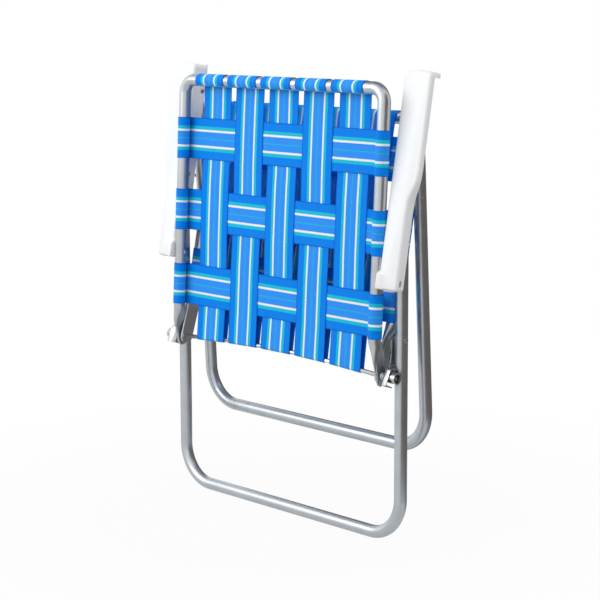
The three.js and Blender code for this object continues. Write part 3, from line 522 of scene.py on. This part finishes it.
def lengthwise(leaf, rows, column, rod_angles):
    """The edges of a tape that hangs from the bar to the rod."""
    centre = COLUMNS[column]
    rod_start, rod_stop = rod_angles
    flat = [(-outwards, off) for outwards, off in wrap_arc(BAR_WRAP, 0)]
    step_places = set()
    for row, height in enumerate(rows):
        middle = leaf.along(height)
        over = WEAVE if (column + row) % 2 == 0 else -WEAVE
        step_places.add(len(flat) - 1)
        flat.append((middle - WEB / 2, WRAP + over))
        flat.append((middle + WEB / 2, WRAP + over))
    flat = eased(flat, step_places)
    lines = []
    for x in (centre - WEB / 2, centre + WEB / 2):
        line = [leaf.at(x, along, off) for along, off in flat]
        for step in range(ROD_STEPS + 1):
            angle = math.radians(rod_start + (rod_stop - rod_start) * step / ROD_STEPS)
            y = HINGE[0] + ROD_WRAP * math.cos(angle)
            line.append(side_point(0, y, rod_height(x) + ROD_WRAP * math.sin(angle)) + Vector((x, 0, 0)))
        lines.append(line)
    return match_edges(*lines)


def crosswise(leaf, half, height, row):
    """The edges of a tape that runs from one side tube to the other."""
    turn_round = [(half + outwards, off) for outwards, off in wrap_arc(0, SIDE_WRAP)]
    line = [(-x, off) for x, off in reversed(turn_round)]
    step_places = set()
    for column, centre in enumerate(COLUMNS):
        over = -WEAVE if (column + row) % 2 == 0 else WEAVE
        step_places.add(len(line) - 1)
        line.append((centre - WEB / 2, WRAP + over))
        line.append((centre + WEB / 2, WRAP + over))
    step_places.add(len(line) - 1)
    line += turn_round
    line = eased(line, step_places)
    middle = leaf.along(height)
    lines = ([leaf.at(x, along, off) for x, off in line] for along in (middle - WEB / 2, middle + WEB / 2))
    return match_edges(*lines)


for column in range(len(COLUMNS)):
    web_tape(f"back_tape_{column + 1}", f"back_web_{column + 1}", "back",
             lengthwise(BACK, BACK_ROWS, column, BACK_ON_ROD))
    web_tape(f"seat_tape_{column + 1}", f"seat_web_{column + 1}", "seat",
             lengthwise(SEAT, SEAT_ROWS, column, SEAT_ON_ROD))
for row, (back_height, seat_height) in enumerate(zip(BACK_ROWS, SEAT_ROWS)):
    web_tape(f"back_cross_tape_{row + 1}", f"back_cross_{row + 1}", "back",
             crosswise(BACK, BACK_HALF, back_height, row))
    web_tape(f"seat_cross_tape_{row + 1}", f"seat_cross_{row + 1}", "seat",
             crosswise(SEAT, SEAT_HALF, seat_height, row))

# The arms are injection-moulded white polypropylene channels, glossy, with soft edges. A low
# lug stands on the inner edge of the rear end, and a round bead runs along the front wall.
SIDES = (("right", 1), ("left", -1))
ARM_TOP, ARM_LEAN = (19, 795), 0.1755
# In the arm's own frame the face is at z = 0, and y runs along it to the front.
ARM_TURN = Matrix.Rotation(math.pi / 2 - math.atan(ARM_LEAN), 4, "X")
ARM_FRAME = Matrix.Translation(side_point(0, *ARM_TOP)) @ ARM_TURN
MERGE = 0.00001
BEAD_RADIUS, BEAD_LENGTH = 0.0032, 0.043
BEAD_PLACE = (0.2975, 0.0006, -0.0318)
LUG_INNER, LUG_OUTER = 0.2717, 0.288
LUG_REAR, LUG_FRONT, LUG_EASE = -0.3635, -0.337, 0.009
LUG_RISE, LUG_SINK, LUG_FOOT = 0.0055, -0.0005, -0.008
SOFT_EDGE = 0.0022

polypropylene, tree, shader = finish_material("moulded_polypropylene")
# White, and slightly soft in the shade as light enters it, with an uneven gloss from the
# mould in waves of 8 mm.
place = node(tree, "ShaderNodeTexCoord")
waves = node(tree, "ShaderNodeTexNoise", {"Vector": place.outputs["Object"]},
             Scale=per_metre(8.3333), Detail=3.0)
gloss = node(tree, "ShaderNodeMapRange", {0: waves.outputs[0]})
gloss.inputs["To Min"].default_value = 0.34
gloss.inputs["To Max"].default_value = 0.44
tree.links.new(gloss.outputs[0], shader.inputs["Roughness"])
skin = node(tree, "ShaderNodeBump", {"Height": waves.outputs[0]}, Strength=0.04, Distance=0.0003)
tree.links.new(skin.outputs[0], shader.inputs["Normal"])
shader.inputs["Base Color"].default_value = linear("#F7F8F9")
shader.inputs["Subsurface Weight"].default_value = 0.06
shader.inputs["Subsurface Radius"].default_value = (0.004, 0.004, 0.004)


def pick(piece):
    """Makes a piece the only one that is selected, and the active one."""
    deselect()
    bpy.context.view_layer.objects.active = piece
    piece.select_set(True)


def ease_edges(piece, width, segments, limit=50):
    """Bevels the edges that are sharper than the limit in degrees."""
    edge = piece.modifiers.new("edge", "BEVEL")
    edge.width = width
    edge.segments = segments
    edge.angle_limit = math.radians(limit)
    bpy.ops.object.modifier_apply(modifier="edge")


def smooth_copy(name, node_name, body, material, angle, bevel=0.0):
    """A copy of a CAD piece with its points merged, its edges eased and its shading smooth."""
    piece = bpy.data.objects.new(name, NODES[node_name].data.copy())
    bpy.context.scene.collection.objects.link(piece)
    pick(piece)
    bpy.ops.object.mode_set(mode="EDIT")
    bpy.ops.mesh.select_all(action="SELECT")
    bpy.ops.mesh.remove_doubles(threshold=MERGE)
    bpy.ops.mesh.dissolve_limited(angle_limit=math.radians(1.0))
    bpy.ops.object.mode_set(mode="OBJECT")
    if bevel:
        ease_edges(piece, bevel, 2)
    piece.data.materials.clear()
    piece.data.materials.append(material)
    bpy.ops.object.shade_smooth_by_angle(angle=math.radians(angle))
    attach(piece, body)
    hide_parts(node_name)
    return piece


def cut_or_join(piece, other, operation):
    """Cuts another solid out of a piece or joins it on, and removes the other one."""
    change = piece.modifiers.new("change", "BOOLEAN")
    change.operation = operation
    change.object = other
    change.solver = "EXACT"
    pick(piece)
    bpy.ops.object.modifier_apply(modifier="change")
    deselect()
    other.select_set(True)
    bpy.ops.object.delete()


for side, way in SIDES:
    arm = smooth_copy(f"arm_moulding_{side}", f"arm_{side}", "arms", polypropylene, 40, 0.0004)
    deselect()
    bpy.ops.mesh.primitive_cylinder_add(vertices=32, radius=BEAD_RADIUS, depth=BEAD_LENGTH,
                                        rotation=(0.0, math.pi / 2, 0.0))
    bpy.ops.object.transform_apply(location=True, rotation=True, scale=True)
    bead = bpy.context.object
    x, y, z = BEAD_PLACE
    bead.data.transform(ARM_FRAME @ Matrix.Translation(Vector((way * x, y, z))))
    ease_edges(bead, SOFT_EDGE, 4)
    cut_or_join(arm, bead, "UNION")
    deselect()
    bpy.ops.mesh.primitive_cube_add(size=2.0)
    lug = bpy.context.object
    for corner in lug.data.vertices:
        inner, front, top = corner.co.x < 0, corner.co.y > 0, corner.co.z > 0
        foremost = LUG_FRONT if top else LUG_FRONT + LUG_EASE
        highest = LUG_RISE if inner else LUG_SINK
        own = Vector((
            way * (LUG_INNER if inner else LUG_OUTER),
            foremost if front else LUG_REAR,
            highest if top else LUG_FOOT,
        ))
        corner.co = ARM_FRAME @ own
    bpy.ops.object.mode_set(mode="EDIT")
    bpy.ops.mesh.select_all(action="SELECT")
    bpy.ops.mesh.normals_make_consistent(inside=False)
    bpy.ops.object.mode_set(mode="OBJECT")
    ease_edges(lug, SOFT_EDGE, 4, 30)
    cut_or_join(arm, lug, "UNION")
    pick(arm)
    bpy.ops.object.shade_smooth_by_angle(angle=math.radians(40))

# The links, cups, rivets, bolts, nuts and the rod are steel with a bright zinc plating. The
# rivets and the bolts are headed cold, so their heads are round all over. Each pair is listed
# with the body that carries it.
HARDWARE = {
    "link": "links", "link_bolt": "links", "hinge_nut": "seat", "leg_rivet": "rear_legs",
    "arm_rear_rivet": "arms", "arm_front_rivet": "arms", "arm_back_rivet": "arms", "seat_rivet": "front_legs",
}

zinc, tree, shader = finish_material("bright_zinc_plate")
# Zinc plate is cool and bright with cloudy patches of 4 mm, which vary its gloss too.
place = node(tree, "ShaderNodeTexCoord")
patches = node(tree, "ShaderNodeTexNoise", {"Vector": place.outputs["Object"]},
               Scale=per_metre(4.1667), Detail=4.0)
tone = node(tree, "ShaderNodeValToRGB", {0: patches.outputs[0]})
tone.color_ramp.elements[0].color = linear("#B9BDC0")
tone.color_ramp.elements[1].color = linear("#D6D9DB")
tree.links.new(tone.outputs[0], shader.inputs["Base Color"])
rough = node(tree, "ShaderNodeMapRange", {0: patches.outputs[0]})
rough.inputs["To Min"].default_value = 0.22
rough.inputs["To Max"].default_value = 0.38
tree.links.new(rough.outputs[0], shader.inputs["Roughness"])
shader.inputs["Metallic"].default_value = 1.0

for stem, body in HARDWARE.items():
    bevel = 0.0003 if stem == "link" else 0.0
    for side, way in SIDES:
        piece = smooth_copy(f"{stem}_plated_{side}", f"{stem}_{side}", body, zinc, 50, bevel)
        if "rivet" in stem or "bolt" in stem:
            round_off = piece.modifiers.new("round_off", "SUBSURF")
            round_off.levels = 2
            round_off.render_levels = 2
            bpy.ops.object.modifier_apply(modifier="round_off")
            bpy.ops.object.shade_smooth()
smooth_copy("rod_plated", "web_rod", "seat", zinc, 40)

# Each cup is stamped with a broad rounded back, and a round eye on its outer side in which
# the rod's tip sits. Distances from the chair's middle and radii are in millimetres.
CUP_EDGE, CUP_CUT = 292.0, 100.0
EYE = {"radius": 9.3, "inner": 286.0, "outer": 303.2}
EYE_HOLE = {"radius": 7.4, "inner": 289.0, "outer": 310.0}


def cross_bar(radius, inner, outer, way):
    """A round solid on the hinge's axis between two distances from the chair's middle."""
    deselect()
    middle = side_point(way * (inner + outer) / 2, *HINGE)
    bpy.ops.mesh.primitive_cylinder_add(vertices=48, radius=radius / 1000, depth=(outer - inner) / 1000,
                                        location=middle, rotation=(0.0, math.pi / 2, 0.0))
    bpy.ops.object.transform_apply(location=True, rotation=True, scale=True)
    return bpy.context.object


for side, way in SIDES:
    cup = smooth_copy(f"clip_plated_{side}", f"clip_{side}", "links", zinc, 40)
    deselect()
    bpy.ops.mesh.primitive_cube_add(size=CUP_CUT / 1000,
                                    location=side_point(way * (CUP_EDGE + CUP_CUT / 2), *HINGE))
    cut_or_join(cup, bpy.context.object, "DIFFERENCE")
    cut_or_join(cup, cross_bar(**EYE, way=way), "UNION")
    cut_or_join(cup, cross_bar(**EYE_HOLE, way=way), "DIFFERENCE")
    pick(cup)
    ease_edges(cup, 0.0004, 2)
    bpy.ops.object.shade_smooth_by_angle(angle=math.radians(40))
